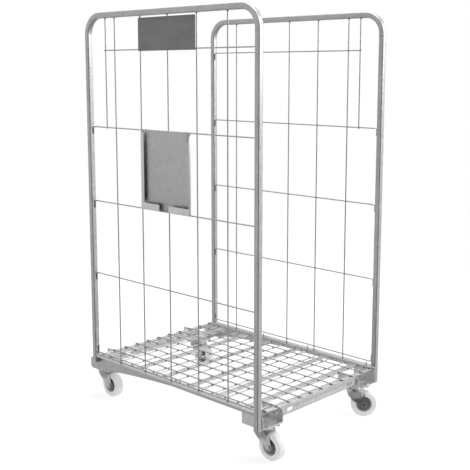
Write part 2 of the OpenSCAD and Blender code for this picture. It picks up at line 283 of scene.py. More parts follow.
def bent(points, radius, steps=8):
    """A polyline whose inner corners are replaced by arcs."""
    points = [Vector(p) for p in points]
    path = [points[0]]
    for before, corner, after in zip(points, points[1:], points[2:]):
        back, ahead = (before - corner).normalized(), (after - corner).normalized()
        half = back.angle(ahead) / 2
        reach = radius / math.tan(half)
        centre = corner + (back + ahead).normalized() * radius / math.sin(half)
        start, end = corner + back * reach - centre, corner + ahead * reach - centre
        sweep_angle = start.angle(end)
        for i in range(steps + 1):
            a = sweep_angle * i / steps
            arc = (start * math.sin(sweep_angle - a) + end * math.sin(a)) / math.sin(sweep_angle)
            path.append(centre + arc)
    path.append(points[-1])
    return path


def fold(points, thickness, inner_radius, steps=5):
    """Closed outline of a folded sheet from the middle line of its section."""
    flat = [Vector((p[0], p[1], 0)) for p in points]
    middle = bent(flat, inner_radius + thickness / 2, steps)
    left, right = [], []
    for i, point in enumerate(middle):
        ahead = middle[min(i + 1, len(middle) - 1)] - middle[max(i - 1, 0)]
        normal = Vector((-ahead.y, ahead.x, 0)).normalized() * thickness / 2
        left.append((point + normal)[:2])
        right.append((point - normal)[:2])
    return left + right[::-1]


def straight(start, end, pieces):
    start, end = Vector(start), Vector(end)
    return [start.lerp(end, i / pieces) for i in range(pieces + 1)]


def grain_layer(bm):
    """Where each vertex lies on the drawn or turned stock, for the materials."""
    layers = bm.verts.layers.float_vector
    return layers.get("grain") or layers.new("grain")


def sweep(bm, path, profile, plane_normal, chamfer=0.0, inner=None):
    """Sweeps a closed profile along a path; grain is the place in the profile and along the path."""
    grain = grain_layer(bm)
    normal = Vector(plane_normal)
    if chamfer:
        path = [path[0], path[0] + (path[1] - path[0]).normalized() * chamfer, *path[1:-1],
                path[-1] + (path[-2] - path[-1]).normalized() * chamfer, path[-1]]
    ends = []
    for shell in [profile] if inner is None else [profile, inner]:
        rings, run = [], 0.0
        for i, point in enumerate(path):
            before, after = path[max(i - 1, 0)], path[min(i + 1, len(path) - 1)]
            tangent = (after - before).normalized()
            side = (normal - tangent * normal.dot(tangent)).normalized()
            up = tangent.cross(side)
            if i:
                run += (point - path[i - 1]).length
            scale = 0.72 if chamfer and i in (0, len(path) - 1) else 1.0
            ring = []
            for u, v in shell:
                vert = bm.verts.new(point + side * u * scale + up * v * scale)
                vert[grain] = Vector((u, v, run))
                ring.append(vert)
            rings.append(ring)
        for a, b in zip(rings, rings[1:]):
            bridge(bm, a, b)
        ends.append((rings[0], rings[-1]))
    for end in (0, 1):
        if inner is None:
            bm.faces.new(ends[0][end])
        else:
            bridge(bm, ends[0][end], ends[1][end])


def wire(bm, path, plane_normal):
    sweep(bm, path, circle_points(WIRE, 14), plane_normal, chamfer=0.8 * MM)


def bead(bm, centre, radii, subdivisions=2, material_index=1):
    """A weld nugget: a small flattened blob."""
    place = Matrix.Translation(centre) @ Matrix.Diagonal((*radii, 1))
    made = bmesh.ops.create_icosphere(bm, subdivisions=subdivisions, radius=1.0, matrix=place)
    for face in {f for v in made["verts"] for f in v.link_faces}:
        face.material_index = material_index


def polar(radius, a, height):
    return Vector((radius * math.cos(a), radius * math.sin(a), height))


def lathe(bm, outline, axis_matrix, steps, closed=True):
    """Turns an outline of (radius, height) points about an axis; grain is radius, height, arc."""
    grain = grain_layer(bm)
    rings = []
    for i in range(steps):
        a = TAU * i / steps
        ring = []
        for radius, height in outline:
            vert = bm.verts.new(axis_matrix @ polar(radius, a, height))
            vert[grain] = Vector((radius, height, a * 0.01))
            ring.append(vert)
        rings.append(ring)
    count = len(outline)
    for i in range(steps):
        a, b = rings[i], rings[(i + 1) % steps]
        for j in range(count if closed else count - 1):
            k = (j + 1) % count
            bm.faces.new((a[j], b[j], b[k], a[k]))


def rounded_outline(points, radius, steps=4):
    """A closed outline with every corner rounded; a corner may give its own radius as a third value."""
    flat = [Vector((p[0], p[1], 0)) for p in points]
    radii = [p[2] if len(p) > 2 else radius for p in points]
    outline = []
    for i, corner in enumerate(flat):
        if radii[i] <= 0:
            outline.append(corner[:2])
            continue
        before, after = flat[i - 1], flat[(i + 1) % len(flat)]
        arc = bent([before, corner, after], radii[i], steps)[1:-1]
        outline += [p[:2] for p in arc]
    return outline


def plate(name, outline, holes, thickness, place, edge=0.4 * MM):
    """A flat sheet part with holes and softly rounded edges, centred on its middle plane."""
    curve = bpy.data.curves.new(name, "CURVE")
    curve.dimensions = "2D"
    curve.fill_mode = "BOTH"
    curve.extrude = thickness / 2 - edge
    curve.bevel_depth = edge
    curve.bevel_resolution = 2
    curve.offset = -edge
    for ring in [outline, *holes]:
        spline = curve.splines.new("POLY")
        spline.points.add(len(ring) - 1)
        for point, (x, y) in zip(spline.points, ring):
            point.co = (x, y, 0, 1)
        spline.use_cyclic_u = True
    stencil = add_object(name, curve)
    flat_mesh = evaluated_mesh(stencil)
    bpy.data.objects.remove(stencil)
    bm = bmesh.new()
    bm.from_mesh(flat_mesh)
    bpy.data.meshes.remove(flat_mesh)
    bm.transform(place)
    return add_object(name, to_mesh(name, bm))


def join(name, objects):
    """One object from several, keeping their material slots."""
    bm = bmesh.new()
    materials = []
    for obj in objects:
        start = len(bm.faces)
        piece = obj.data.copy()
        piece.transform(obj.matrix_world)
        bm.from_mesh(piece)
        bpy.data.meshes.remove(piece)
        bm.faces.ensure_lookup_table()
        own = list(obj.data.materials)
        for material in own:
            if material not in materials:
                materials.append(material)
        for face in bm.faces[start:]:
            if own:
                face.material_index = materials.index(own[face.material_index])
    mesh = bpy.data.meshes.new(name)
    bm.to_mesh(mesh)
    bm.free()
    for obj in objects:
        bpy.data.objects.remove(obj)
    return add_object(name, mesh, *materials)


PLANE_YZ = Matrix(((0, 0, 1, 0), (1, 0, 0, 0), (0, 1, 0, 0), (0, 0, 0, 1)))
ALONG_X = Matrix.Rotation(math.pi / 2, 4, "Y")


# ---------------- materials

class Nodes:
    """Short ways to add nodes to a tree."""

    def __init__(self, tree):
        self.tree = tree

    def feed(self, socket, value):
        """Links a socket to another one, or gives it a value of its own."""
        if isinstance(value, bpy.types.NodeSocket):
            self.tree.links.new(value, socket)
        else:
            socket.default_value = value

    def node(self, kind, **inputs):
        made = self.tree.nodes.new("ShaderNode" + kind)
        for socket, value in inputs.items():
            self.feed(made.inputs[socket.replace("_", " ")], value)
        return made

    def spread(self, value, low, high, to_low, to_high, interpolation="LINEAR"):
        made = self.node("MapRange", Value=value)
        made.interpolation_type = interpolation
        for index, number in enumerate((low, high, to_low, to_high), 1):
            made.inputs[index].default_value = number
        return made.outputs["Result"]

    def multiply(self, first, second):
        made = self.node("Math")
        made.operation = "MULTIPLY"
        self.feed(made.inputs[0], first)
        self.feed(made.inputs[1], second)
        return made.outputs[0]


class Shader(Nodes):
    """A Principled material."""

    def __init__(self, name, **settings):
        self.material = bpy.data.materials.new(name)
        self.material.use_nodes = True
        super().__init__(self.material.node_tree)
        self.principled = self.tree.nodes["Principled BSDF"]
        for socket, value in settings.items():
            self.put(socket.replace("_", " "), value)

    def put(self, socket, value):
        self.feed(self.principled.inputs[socket], value)

    def coordinates(self, swept):
        if swept:
            made = self.node("Attribute")
            made.attribute_name = "grain"
            return made.outputs["Vector"]
        return self.node("TexCoord").outputs["Object"]

    def noise(self, vector, stretch, scale, detail, roughness=0.55):
        mapping = self.node("Mapping", Vector=vector, Scale=stretch)
        made = self.node("TexNoise", Vector=mapping.outputs["Vector"], Scale=scale, Detail=detail,
                         Roughness=roughness)
        return made.outputs["Fac"]

    def mix(self, factor, first, second):
        made = self.node("Mix")
        made.data_type = "RGBA"
        for index, value in ((0, factor), (6, first), (7, second)):
            self.feed(made.inputs[index], value)
        return made.outputs[2]

    def bump(self, height, strength, distance):
        made = self.node("Bump", Height=height, Strength=strength, Distance=distance)
        self.put("Normal", made.outputs["Normal"])


def grey(value, warmth=0.0):
    return (value * (1 + warmth), value, value * (1 - warmth), 1.0)


def zinc(name, value, rough, swept, stretch, spangle, streak, stain, metallic=1.0):
    """Zinc plate: cloudy tone, drawn streaks, faint stains, uneven polish and a fine grain."""
    shader = Shader(name, Metallic=metallic)
    where = shader.coordinates(swept)
    cloud = shader.noise(where, EVEN, 55, detail=5)
    streaks = shader.noise(where, stretch, 420, detail=3)
    stains = shader.noise(where, EVEN, 14, detail=7, roughness=0.7)
    base = shader.mix(shader.spread(cloud, 0.3, 0.7, 0, 1), grey(value * (1 - spangle), -0.012),
                      grey(min(1.0, value * (1 + spangle)), 0.004))
    lined = shader.mix(shader.spread(streaks, 0.35, 0.75, 0, streak), base, grey(value * 0.45))
    aged = shader.mix(shader.spread(stains, 0.56, 0.72, 0, stain), lined, grey(value * 0.5, 0.03))
    shader.put("Base Color", aged)
    polish = shader.multiply(cloud, streaks)
    shader.put("Roughness", shader.spread(polish, 0.1, 0.42, rough - 0.07, rough + 0.1))
    shader.bump(streaks, 0.22, 0.12 * MM)
    return shader.material


def weld_metal():
    shader = Shader("weld_bead", Metallic=0.85)
    where = shader.coordinates(False)
    scale = shader.noise(where, EVEN, 700, detail=4)
    shader.put("Base Color", shader.mix(shader.spread(scale, 0.35, 0.65, 0, 1), grey(0.06), grey(0.24, 0.02)))
    shader.put("Roughness", shader.spread(scale, 0.3, 0.7, 0.42, 0.7))
    shader.bump(scale, 0.5, 0.3 * MM)
    return shader.material


def sign_paint():
    """Satin grey lacquer with a fine texture and pale rubbed patches."""
    shader = Shader("sign_paint", Metallic=0.35, Specular_IOR_Level=0.5)
    where = shader.coordinates(False)
    fine = shader.noise(where, EVEN, 1400, detail=2)
    cloud = shader.noise(where, (1, 1, 2.4), 9, detail=6, roughness=0.65)
    scratch = shader.noise(where, (1, 0.06, 1), 900, detail=2)
    base = shader.mix(shader.spread(cloud, 0.35, 0.7, 0, 1), grey(0.20), grey(0.26, 0.01))
    worn = shader.mix(shader.spread(scratch, 0.66, 0.78, 0, 0.45), base, grey(0.34))
    shader.put("Base Color", worn)
    shader.put("Roughness", shader.spread(cloud, 0.3, 0.7, 0.40, 0.56))
    shader.bump(fine, 0.25, 0.1 * MM)
    return shader.material


def nylon():
    """Moulded white nylon: faint cloudiness, turning marks, grey scuffs on the tread, and painted shade that
    darkens the hub recess.
    """
    tread_from, tread_to, recess_from, recess_to = mm(49.5, 52.0, 27.5, 30.5)
    shader = Shader("wheel_nylon", Metallic=0.0, Subsurface_Weight=0.18, Subsurface_Scale=4 * MM,
                    Specular_IOR_Level=0.45)
    turned = shader.coordinates(True)
    where = shader.coordinates(False)
    split = shader.node("SeparateXYZ", Vector=turned)
    cloud = shader.noise(where, EVEN, 60, detail=4)
    rings = shader.noise(turned, (1, 0.3, 0), 900, detail=2)
    scuff = shader.noise(where, EVEN, 160, detail=6, roughness=0.7)
    tread = shader.spread(split.outputs["X"], tread_from, tread_to, 0, 1)
    base = shader.mix(shader.spread(cloud, 0.35, 0.65, 0, 1), grey(0.80, 0.010), grey(0.87, 0.004))
    scuffed = shader.multiply(shader.spread(scuff, 0.5, 0.68, 0, 0.5), tread)
    dirty = shader.mix(scuffed, base, grey(0.50, 0.02))
    # painted shade: the hub and the recess floor darken to near black inside about 28 mm radius, patchy by the
    # scuff noise
    inside = shader.spread(split.outputs["X"], recess_from, recess_to, 0.9, 0)
    patchy_recess_shade = shader.multiply(inside, shader.spread(scuff, 0.25, 0.6, 0.75, 1))
    shader.put("Base Color", shader.mix(patchy_recess_shade, dirty, grey(0.07, 0.02)))
    shader.put("Roughness", shader.spread(cloud, 0.3, 0.7, 0.34, 0.5))
    shader.bump(rings, 0.12, 0.1 * MM)
    return shader.material


TUBE_ZINC = zinc("tube_zinc", 0.60, 0.36, True, (1, 1, 0.03), spangle=0.10, streak=0.35, stain=0.3)
WIRE_ZINC = zinc("wire_zinc", 0.58, 0.33, True, (1, 1, 0.04), spangle=0.10, streak=0.25, stain=0.25)
SHEET_ZINC = zinc("sheet_zinc", 0.62, 0.42, False, (1, 0.05, 1), spangle=0.12, streak=0.16, stain=0.25,
                  metallic=0.85)
BEAM_ZINC = zinc("beam_zinc", 0.68, 0.40, False, (0.05, 1, 1), spangle=0.12, streak=0.14, stain=0.22,
                 metallic=0.8)
# Lighter copy of the holder zinc: painted highlight for the bottom lips and the front guard.
HOLDER_LIT_ZINC = zinc("holder_lit_zinc", 0.80, 0.40, False, (1, 1, 0.05), spangle=0.07, streak=0.10, stain=0.15)
HOLDER_ZINC = zinc("holder_zinc", 0.60, 0.44, False, (1, 1, 0.05), spangle=0.09, streak=0.12, stain=0.20)
CASTER_ZINC = zinc("caster_zinc", 0.72, 0.30, False, (1, 1, 0.2), spangle=0.10, streak=0.10, stain=0.20)
BRIGHT_ZINC = zinc("bright_zinc", 0.70, 0.26, False, (1, 1, 1), spangle=0.06, streak=0.08, stain=0.15)
BUSH_STEEL = zinc("bush_steel", 0.36, 0.38, False, (1, 1, 1), spangle=0.08, streak=0.10, stain=0.15)
WELD = weld_metal()
SIGN = sign_paint()
NYLON = nylon()


# ---------------- side panels

def half_turned(points, turned):
    return [Vector((-p.x, -p.y, p.z)) if turned else p for p in points]


def side_frame(side):
    """One hoop of square tube, hollow, its front leg longer."""
    node = side + "_side_frame"
    x = -TUBE_X if side == "left" else TUBE_X
    rear_low = cad("rear_post_feet")[1].z
    corners = [(x, -POST_Y, FRAME_LO.z), (x, -POST_Y, TOP_Z - TUBE / 2), (x, POST_Y, TOP_Z - TUBE / 2),
               (x, POST_Y, rear_low)]
    bm = bmesh.new()
    outer = rounded_rect(TUBE, TUBE, 4.2 * MM)
    inner = rounded_rect(TUBE - 2 * TUBE_WALL, TUBE - 2 * TUBE_WALL, 2.7 * MM)
    sweep(bm, bent(corners, BEND_R, 28), outer, (1, 0, 0), inner=inner)
    form(node, bm, TUBE_ZINC, smooth_angle=50)


def cross_paths():
    """Middle lines of the five cross wires of the left panel."""
    x, first = -CROSS_X, CROSS_Z[0]

    def across(z, foot):
        return [(x, -FOOT_Y, z + foot), (x, -FOOT_Y, z), (x, FOOT_Y, z), (x, FOOT_Y, z + foot)]

    paths = [across(z, -WIRE_FOOT) for z in CROSS_Z[1:]]
    paths.append([(x, -FOOT_Y, first - WIRE_FOOT), (x, -FOOT_Y, first), (x, SHORT_Y + 4 * MM, first)])
    paths.append(across(LOW_Z, WIRE_FOOT))
    return paths


def upright_lines():
    """(y, low z) of the upright wires of the left panel."""
    lines = [(-POST_Y + i * 2 * POST_Y / BAYS, UPRIGHT_LO.z) for i in range(1, BAYS)]
    return lines + [(SHORT_Y, SHORT_LOW)]


def cross_wires(side):
    node = side + "_cross_wires"
    turned = side == "right"
    flip = -1 if turned else 1
    bm = bmesh.new()
    for path in cross_paths():
        wire(bm, half_turned(bent(path, WIRE_BEND), turned), (1, 0, 0))
        for end, neighbour in ((path[0], path[1]), (path[-1], path[-2])):
            if abs(end[1]) > FOOT_Y - MM:
                middle = (end[2] * 2 + neighbour[2]) / 3
                face_y = math.copysign(POST_FACE - 1.0 * MM, end[1])
                bead(bm, (end[0] * flip, face_y * flip, middle), mm(3.0, 1.7, 8))
    touch_x = -(CROSS_X + UPRIGHT_X) / 2
    for y, low in upright_lines():
        for z in [LOW_Z, *CROSS_Z]:
            if z > low - 10 * MM and y < SHORT_Y + 5 * MM:
                bead(bm, (touch_x * flip, y * flip, z), mm(1.9, 3.3, 3.3))
    form(node, bm, WIRE_ZINC, WELD)


def upright_wires(side):
    node = side + "_upright_wires"
    flip = -1 if side == "right" else 1
    bm = bmesh.new()
    top = UPRIGHT_HI.z
    for y, low in upright_lines():
        x, y = -UPRIGHT_X * flip, y * flip
        wire(bm, straight((x, y, low), (x, y, top), 4), (1, 0, 0))
        bead(bm, (x, y, top - 1.0 * MM), mm(4.4, 4.0, 2.0))
        if low < CROSS_Z[3]:
            bead(bm, (x, y, low + 1.0 * MM), mm(3.6, 4.2, 2.2))
    form(node, bm, WIRE_ZINC, WELD)


def sign_plate():
    """Flat sign with two tabs folded under the first cross wire."""
    low, high = cad("sign_plate")
    thick, corner = mm(1.5, 4)
    x = low.x + thick / 2
    tab_w, tab_h, relief = mm(24, 6, 0.5)
    outline = [(low.y, high.z, corner), (low.y, low.z, corner)]
    tabs = [side * (high.y - 16 * MM) for side in (-1, 1)]
    for y in tabs:
        for dy, z in ((-1, low.z), (-1, low.z + tab_h), (1, low.z + tab_h), (1, low.z)):
            outline.append((y + dy * (tab_w / 2 + relief), z, 0.4 * MM))
    outline += [(high.y, low.z, corner), (high.y, high.z, corner)]
    parts = [plate("sign", rounded_outline(outline, corner), [], thick, moved(x, 0, 0) @ PLANE_YZ)]
    for y in tabs:
        section = [(x, low.z + tab_h + 0.5 * MM), (x, low.z + thick / 2), (high.x, low.z + thick / 2)]
        tab = prism("tab", fold(section, thick, 0.8 * MM), y - tab_w / 2, y + tab_w / 2, "XZY")
        parts.append(soften_edges(tab, 0.25 * MM))
    coat(SIGN, *parts)
    joined_form("sign_plate", parts)


def document_holder():
    """Open sheet tray: folded back and sides, folded bottom with two lips, two straps over the wire."""
    low, high = cad("document_holder")
    t, bend, edge = mm(1, 0.8, 0.22)
    hook_leg, lip_h, side_drop, slope, guard_w = mm(16, 26, 14, 8, 18)
    strap_y, strap_half = mm(108, 9)
    gap_from, gap_to = low.y + 110 * MM, high.y - 103 * MM
    back = -(CROSS_X + WIRE + 0.3 * MM + t / 2)
    front = low.x + t / 2
    outside = front - 5 * MM
    far = high.y - t / 2
    side_top, over = high.z - side_drop, high.z + t
    tray = prism("tray", fold([(front, low.y + t / 2), (back, low.y + t / 2), (back, far - t),
                               (back - 3 * t, far - t)], t, bend), low.z + t, high.z - t)
    guard = prism("guard", fold([(back + t, far), (front, far), (front, far - guard_w)], t, bend),
                  low.z + lip_h + 0.6 * MM, high.z - t)
    cut = [(outside, side_top - slope), (back - t, side_top), (back - t, over), (outside, over)]
    width = high.y - low.y - 2 * t
    carve(tray, [prism("trim", cut, low.y - t + s * width, low.y + 3 * t + s * width, "XZY") for s in (0, 1)])
    cut = [(outside, side_top), (back - 2 * t, side_top + slope), (back - 2 * t, over), (outside, over)]
    carve(guard, [prism("trim", cut, far - 24 * MM, far + 5 * MM, "XZY")])
    bottom = prism("bottom", fold([(back + t / 2, low.z + t / 2), (front, low.z + t / 2),
                                   (front, low.z + lip_h)], t, bend), low.y, high.y, "XZY")
    cut = [(gap_from, low.z + 2.2 * MM), (gap_to, low.z + 2.2 * MM), (gap_to, low.z + 2 * lip_h),
           (gap_from, low.z + 2 * lip_h)]
    carve(bottom, [prism("gap", rounded_outline(cut, 1.5 * MM), outside, back - 1.6 * t, "YZX")])
    parts = [soften_edges(part, edge) for part in (tray, bottom, guard)]
    middle = (low.y + high.y) / 2
    for side in (-1, 1):
        section = [(back - t, high.z - 34 * MM), (back - t, high.z - t / 2), (high.x - t / 2, high.z - t / 2),
                   (high.x - t / 2, high.z - hook_leg)]
        y = middle + side * strap_y
        strap = prism("strap", fold(section, t, bend), y - strap_half, y + strap_half, "XZY")
        parts.append(soften_edges(strap, edge))
        bm = bmesh.new()
        for z in (high.z - 27 * MM, high.z - 19 * MM):
            bead(bm, (back - 1.6 * t, y, z), mm(0.5, 2.6, 2.6), material_index=0)
        parts.append(add_object("spots", to_mesh("spots", bm)))
    coat(HOLDER_ZINC, tray, *parts[3:])
    # painted highlight: the bottom with its lips and the guard take the lighter copy of the holder zinc
    coat(HOLDER_LIT_ZINC, bottom, guard)
    joined_form("document_holder", parts)


# ---------------- base

def smooth_line(points, steps=8):
    """A Catmull-Rom curve through (y, z) points."""
    ends = [points[0], *points, points[-1]]
    line = []
    for p0, p1, p2, p3 in zip(ends, ends[1:], ends[2:], ends[3:]):
        for i in range(steps):
            t = i / steps
            line.append(tuple(0.5 * (2 * b + (c - a) * t + (2 * a - 5 * b + 4 * c - d) * t * t
                                     + (3 * b - 3 * c + d - a) * t ** 3)
                              for a, b, c, d in zip(p0, p1, p2, p3)))
    return line + [points[-1]]


def side_rail(side):
    """Folded rail: a flange turned out at the top, a web that deepens over the rear caster."""
    node = side + "_side_rail"
    flip = -1 if side == "left" else 1
    low, high = cad("left_side_rail")
    top, web = high.z, high.x - SHEET / 2
    wide, past, face = 30 * MM, high.y + MM, flip * -web
    section = [(flip * -low.x, top - SHEET / 2), (face, top - SHEET / 2), (face, low.z - 5 * MM)]
    rail = prism(node + "_form", fold(section, SHEET, 2 * MM), low.y, high.y, "XZY")
    depths = [(y * MM, top - depth * MM) for y, depth in RAIL_DEPTHS]
    bulge = smooth_line(depths + [(RAIL_FULL_DEPTH_Y, low.z)])
    under = [(low.y - MM, low.z - 10 * MM), (low.y - MM, depths[0][1]), *bulge,
             (high.y - 10 * MM, low.z), (past, low.z + 11 * MM), (past, low.z - 10 * MM)]
    corner = [(past, top - 25 * MM), (470 * MM, top + MM), (past, top + MM)]
    cutters = [prism(name, outline, face - wide, face + wide, "YZX")
               for name, outline in (("under", under), ("corner", corner))]
    outer = sorted((flip * (SHEET / 2 - web), flip * (5 * MM - low.x)))
    for y0, y1 in ((low.y - MM, -POST_FACE), (POST_FACE, past)):
        cutters.append(box_at("flange_end", (outer[0], y0, top - 9 * MM), (outer[1], y1, top + MM)))
    folded_form(node, rail, cutters, SHEET_ZINC, 0.45 * MM)


def cross_member(end):
    """Folded channel with an oval hand hole near each end."""
    node = end + "_cross_member"
    flip = -1 if end == "front" else 1
    low, high = cad("front_cross_member")
    t = 2 * MM
    hole_w, hole_h, hole_from_end, hole_below_top = mm(32, 14, 48, 20)
    face = flip * (-low.y - t / 2)
    section = [(flip * -high.y, high.z - t / 2), (face, high.z - t / 2), (face, low.z + t / 2),
               (flip * (-low.y - 14 * MM), low.z + t / 2)]
    beam = prism(node + "_form", fold(section, t, 1.5 * MM), low.x, high.x, "YZX")
    centres = [(side * (high.x - hole_from_end), high.z - hole_below_top) for side in (-1, 1)]
    cutters = [prism("hole", stadium(hole_w, hole_h, centre), face - 6 * MM, face + 6 * MM, "XZY")
               for centre in centres]
    folded_form(node, beam, cutters, BEAM_ZINC, 0.4 * MM)


def bracket(corner):
    """Folded pocket over a caster: floor, outer wall and inner wall from one sheet."""
    node = corner + "_bracket"
    low, high = cad(node)
    king = joint_place(corner + "_swivel")
    left = king.x < 0
    t, wide, past = SHEET, 4 * MM, high.y + 9 * MM
    outer_x, inner_x = (low.x + t / 2, high.x - t / 2) if left else (high.x - t / 2, low.x + t / 2)
    outer_top = low.z + (52 if corner.startswith("front") else 30) * MM
    section = [(outer_x, outer_top), (outer_x, low.z + t / 2), (inner_x, low.z + t / 2), (inner_x, high.z)]
    pocket = prism(node + "_form", fold(section, t, 1.8 * MM), low.y, high.y, "XZY")
    slant = [(low.y - MM, high.z - 9 * MM), (low.y + 11 * MM, high.z + MM), (low.y - MM, high.z + MM)]
    drain = circle_points(3 * MM, 20, (low.y + 30 * MM, low.z + 26 * MM))
    king_hole = circle_points(10 * MM, 32, (king.x, king.y))
    cutters = [prism("slant", slant, inner_x - wide, inner_x + wide, "YZX"),
               prism("king_hole", king_hole, low.z - MM, low.z + 5 * MM),
               prism("drain", drain, inner_x - wide, inner_x + wide, "YZX")]
    if corner.startswith("rear"):
        rail_end = cad("left_side_rail")[1].y
        into = 1 if left else -1
        outside, inside = outer_x - into * wide, outer_x + into * (high.y - rail_end)
        tail = [(outside, rail_end), (inside, high.y), (inside, past), (outside, past)]
        cutters += [prism("tail", tail, low.z - MM, outer_top + MM),
                    box_at("wall_end", (outer_x - wide, rail_end, low.z + t),
                           (outer_x + wide, high.y + MM, outer_top + MM))]
    folded_form(node, pocket, cutters, BEAM_ZINC, 0.45 * MM)


def small_plates(node, centres, width, length, radius):
    """Several like flat plates of one node."""
    low, high = cad(node)
    outline, middle = rounded_rect(width, length, radius), (low.z + high.z) / 2
    parts = [plate(node, outline, [], high.z - low.z, moved(x, y, middle)) for x, y in centres]
    coat(SHEET_ZINC, *parts)
    joined_form(node, parts)


def hinge_rod():
    bm = bmesh.new()
    path = straight((ROD_X, ROD_LO.y, ROD_Z), (ROD_X, ROD_HI.y, ROD_Z), 8)
    sweep(bm, path, circle_points(ROD_R, 24), (1, 0, 0), chamfer=1.2 * MM)
    form("hinge_rod", bm, WIRE_ZINC)


def hinge_lugs():
    """Eye plates that hold the rod to the left rail, with a fillet weld at the web."""
    low, high = cad("hinge_lugs")
    head = (high.z - low.z) / 2
    foot_x, half = low.x, 6.5 * MM
    arc = [(ROD_X + head * math.cos(a), ROD_Z + head * math.sin(a))
           for a in [math.radians(d) for d in range(-126, 127, 12)]]
    outline = [(foot_x, ROD_Z - half), *arc, (foot_x, ROD_Z + half)]
    hole = circle_points(ROD_R + 0.05 * MM, 28, (ROD_X, ROD_Z))
    stand = Matrix(((1, 0, 0, 0), (0, 0, -1, 0), (0, 1, 0, 0), (0, 0, 0, 1)))
    parts = []
    for y in LUG_Y:
        lug = plate("lug", outline, [hole], 4 * MM, moved(0, y, 0) @ stand, edge=0.35 * MM)
        coat(SHEET_ZINC, lug)
        bm = bmesh.new()
        for side in (-1, 1):
            centre = (foot_x + 0.6 * MM, y + side * 2 * MM, ROD_Z)
            bead(bm, centre, (1.6 * MM, 1.5 * MM, half * 0.9), material_index=0)
        parts += [lug, add_object("fillet", to_mesh("fillet", bm), WELD)]
    joined_form("hinge_lugs", parts)


# ---------------- deck

def short_wire_rows():
    rows = [-DECK_Y + i * 2 * DECK_Y / DECK_BAYS for i in range(DECK_BAYS + 1)]
    return rows + [end * (DECK_Y - 9 * MM) for end in (-1, 1)]


def deck_wires():
    short_lo, short_hi = cad("deck_short_wires")
    columns = [i * DECK_X / 5 for i in range(-5, 6)]
    bm = bmesh.new()
    for x in columns:
        wire(bm, straight((x, LONG_LO.y, LONG_Z), (x, LONG_HI.y, LONG_Z), 6), (1, 0, 0))
    form("deck_long_wires", bm, WIRE_ZINC, WELD)
    bm = bmesh.new()
    for y in short_wire_rows():
        wire(bm, straight((short_lo.x, y, SHORT_Z), (short_hi.x, y, SHORT_Z), 6), (0, 1, 0))
        for x in columns:
            bead(bm, (x, y, LONG_Z - WIRE), mm(4.5, 4.5, 1.9))
    form("deck_short_wires", bm, WIRE_ZINC, WELD)


def deck_strips():
    """Flat bars with rolled edges under the wires."""
    mid_x, mid_z = (STRIP_LO.x + STRIP_HI.x) / 2, (STRIP_LO.z + STRIP_HI.z) / 2
    length, thick = STRIP_HI.x - STRIP_LO.x, STRIP_HI.z - STRIP_LO.z
    parts = [plate("strip", rounded_rect(length, width, 2 * MM), [], thick, moved(mid_x, y, mid_z), 0.9 * MM)
             for y, width in STRIPS]
    coat(BEAM_ZINC, *parts)
    joined_form("deck_strips", parts)


def deck_hinge_eyes():
    """Wire ends coiled round the hinge rod, each with a straight tail under the deck."""
    r = 2.1 * MM
    coil = ROD_R + 0.15 * MM + r
    turns, pitch = 3.2, 4.3 * MM
    tail_end = ROD_X + 74 * MM
    bm = bmesh.new()
    for y in EYE_Y:
        points = []
        steps = int(turns * 28)
        for i in range(steps + 1):
            left = turns * (1 - i / steps)
            a = -math.pi / 2 + TAU * left
            points.append(Vector((ROD_X + coil * math.cos(a), y - left * pitch + turns * pitch / 2,
                                  ROD_Z + coil * math.sin(a))))
        end = points[-1]
        for i in range(1, 9):
            s = i / 8
            rise = s * s * (3 - 2 * s)
            points.append(Vector((end.x + 12 * MM * s, end.y, end.z + (SHORT_Z - end.z) * rise)))
        points.append(Vector((tail_end, end.y, SHORT_Z)))
        sweep(bm, points, circle_points(r, 12), (0, 1, 0), chamfer=0.6 * MM)
        for x in (-DECK_X, -DECK_X + DECK_X / 5):
            bead(bm, (x, end.y, LONG_Z - WIRE), mm(3.0, 2.8, 1.6))
    form("deck_hinge_eyes", bm, WIRE_ZINC, WELD)


def deck_hooks():
    """Wire ends turned up at the free edge, to lift the deck by."""
    low, high = cad("deck_hooks")
    bm = bmesh.new()
    for y in HOOK_Y:
        corner = (high.x - WIRE, y, SHORT_Z)
        path = bent([(low.x, y, SHORT_Z), corner, (high.x - WIRE, y, high.z)], WIRE_BEND, 10)
        wire(bm, path, (0, 1, 0))
        bead(bm, (DECK_X, y, LONG_Z - WIRE), mm(3.2, 3.2, 1.6))
    form("deck_hooks", bm, WIRE_ZINC, WELD)


# ---------------- casters

def hex_form(bm, place, corner_r, height, hole_r=0.0):
    """A hexagon head with a turned chamfer on top, or, with a hole, a nut chamfered on both sides."""
    flat_r = corner_r * math.cos(math.pi / 6)
    face_r = flat_r * 0.94
    steps = 48

    def reach(a):
        return flat_r / math.cos((a + math.pi / 6) % (math.pi / 3) - math.pi / 6)

    def drop(a):
        return 0.45 * (reach(a) - flat_r * 0.96)

    def ring(radius_of, height_of):
        return [bm.verts.new(place @ polar(radius_of(a), a, height_of(a)))
                for a in [TAU * i / steps for i in range(steps)]]

    def round_ring(radius, level):
        return ring(lambda a: radius, lambda a: level)

    low_face = [round_ring(face_r, 0.0), ring(reach, drop)] if hole_r else [ring(reach, lambda a: 0.0)]
    rings = [*low_face, ring(reach, lambda a: height - drop(a)), round_ring(face_r, height)]
    if hole_r:
        rings += [round_ring(hole_r * 1.08, height), round_ring(hole_r, height - 0.8 * MM),
                  round_ring(hole_r, 0.0), rings[0]]
    for a, b in zip(rings, rings[1:]):
        bridge(bm, a, b)
    if not hole_r:
        bm.faces.new(rings[0])
        bm.faces.new(rings[-1])


def shank(bm, place, radius, low, high, thread_to):
    """A turned shank with a chamfered tip and thread ridges up to thread_to."""
    pitch = 1.2 * MM
    outline = [(0.0, low), (radius * 0.8, low), (radius, low + 0.8 * MM)]
    ridge = low + pitch
    while ridge < thread_to:
        outline += [(radius * 0.9, ridge), (radius, ridge + 0.6 * MM)]
        ridge += pitch
    outline += [(radius, high), (0.0, high)]
    lathe(bm, outline, place, 24, closed=False)


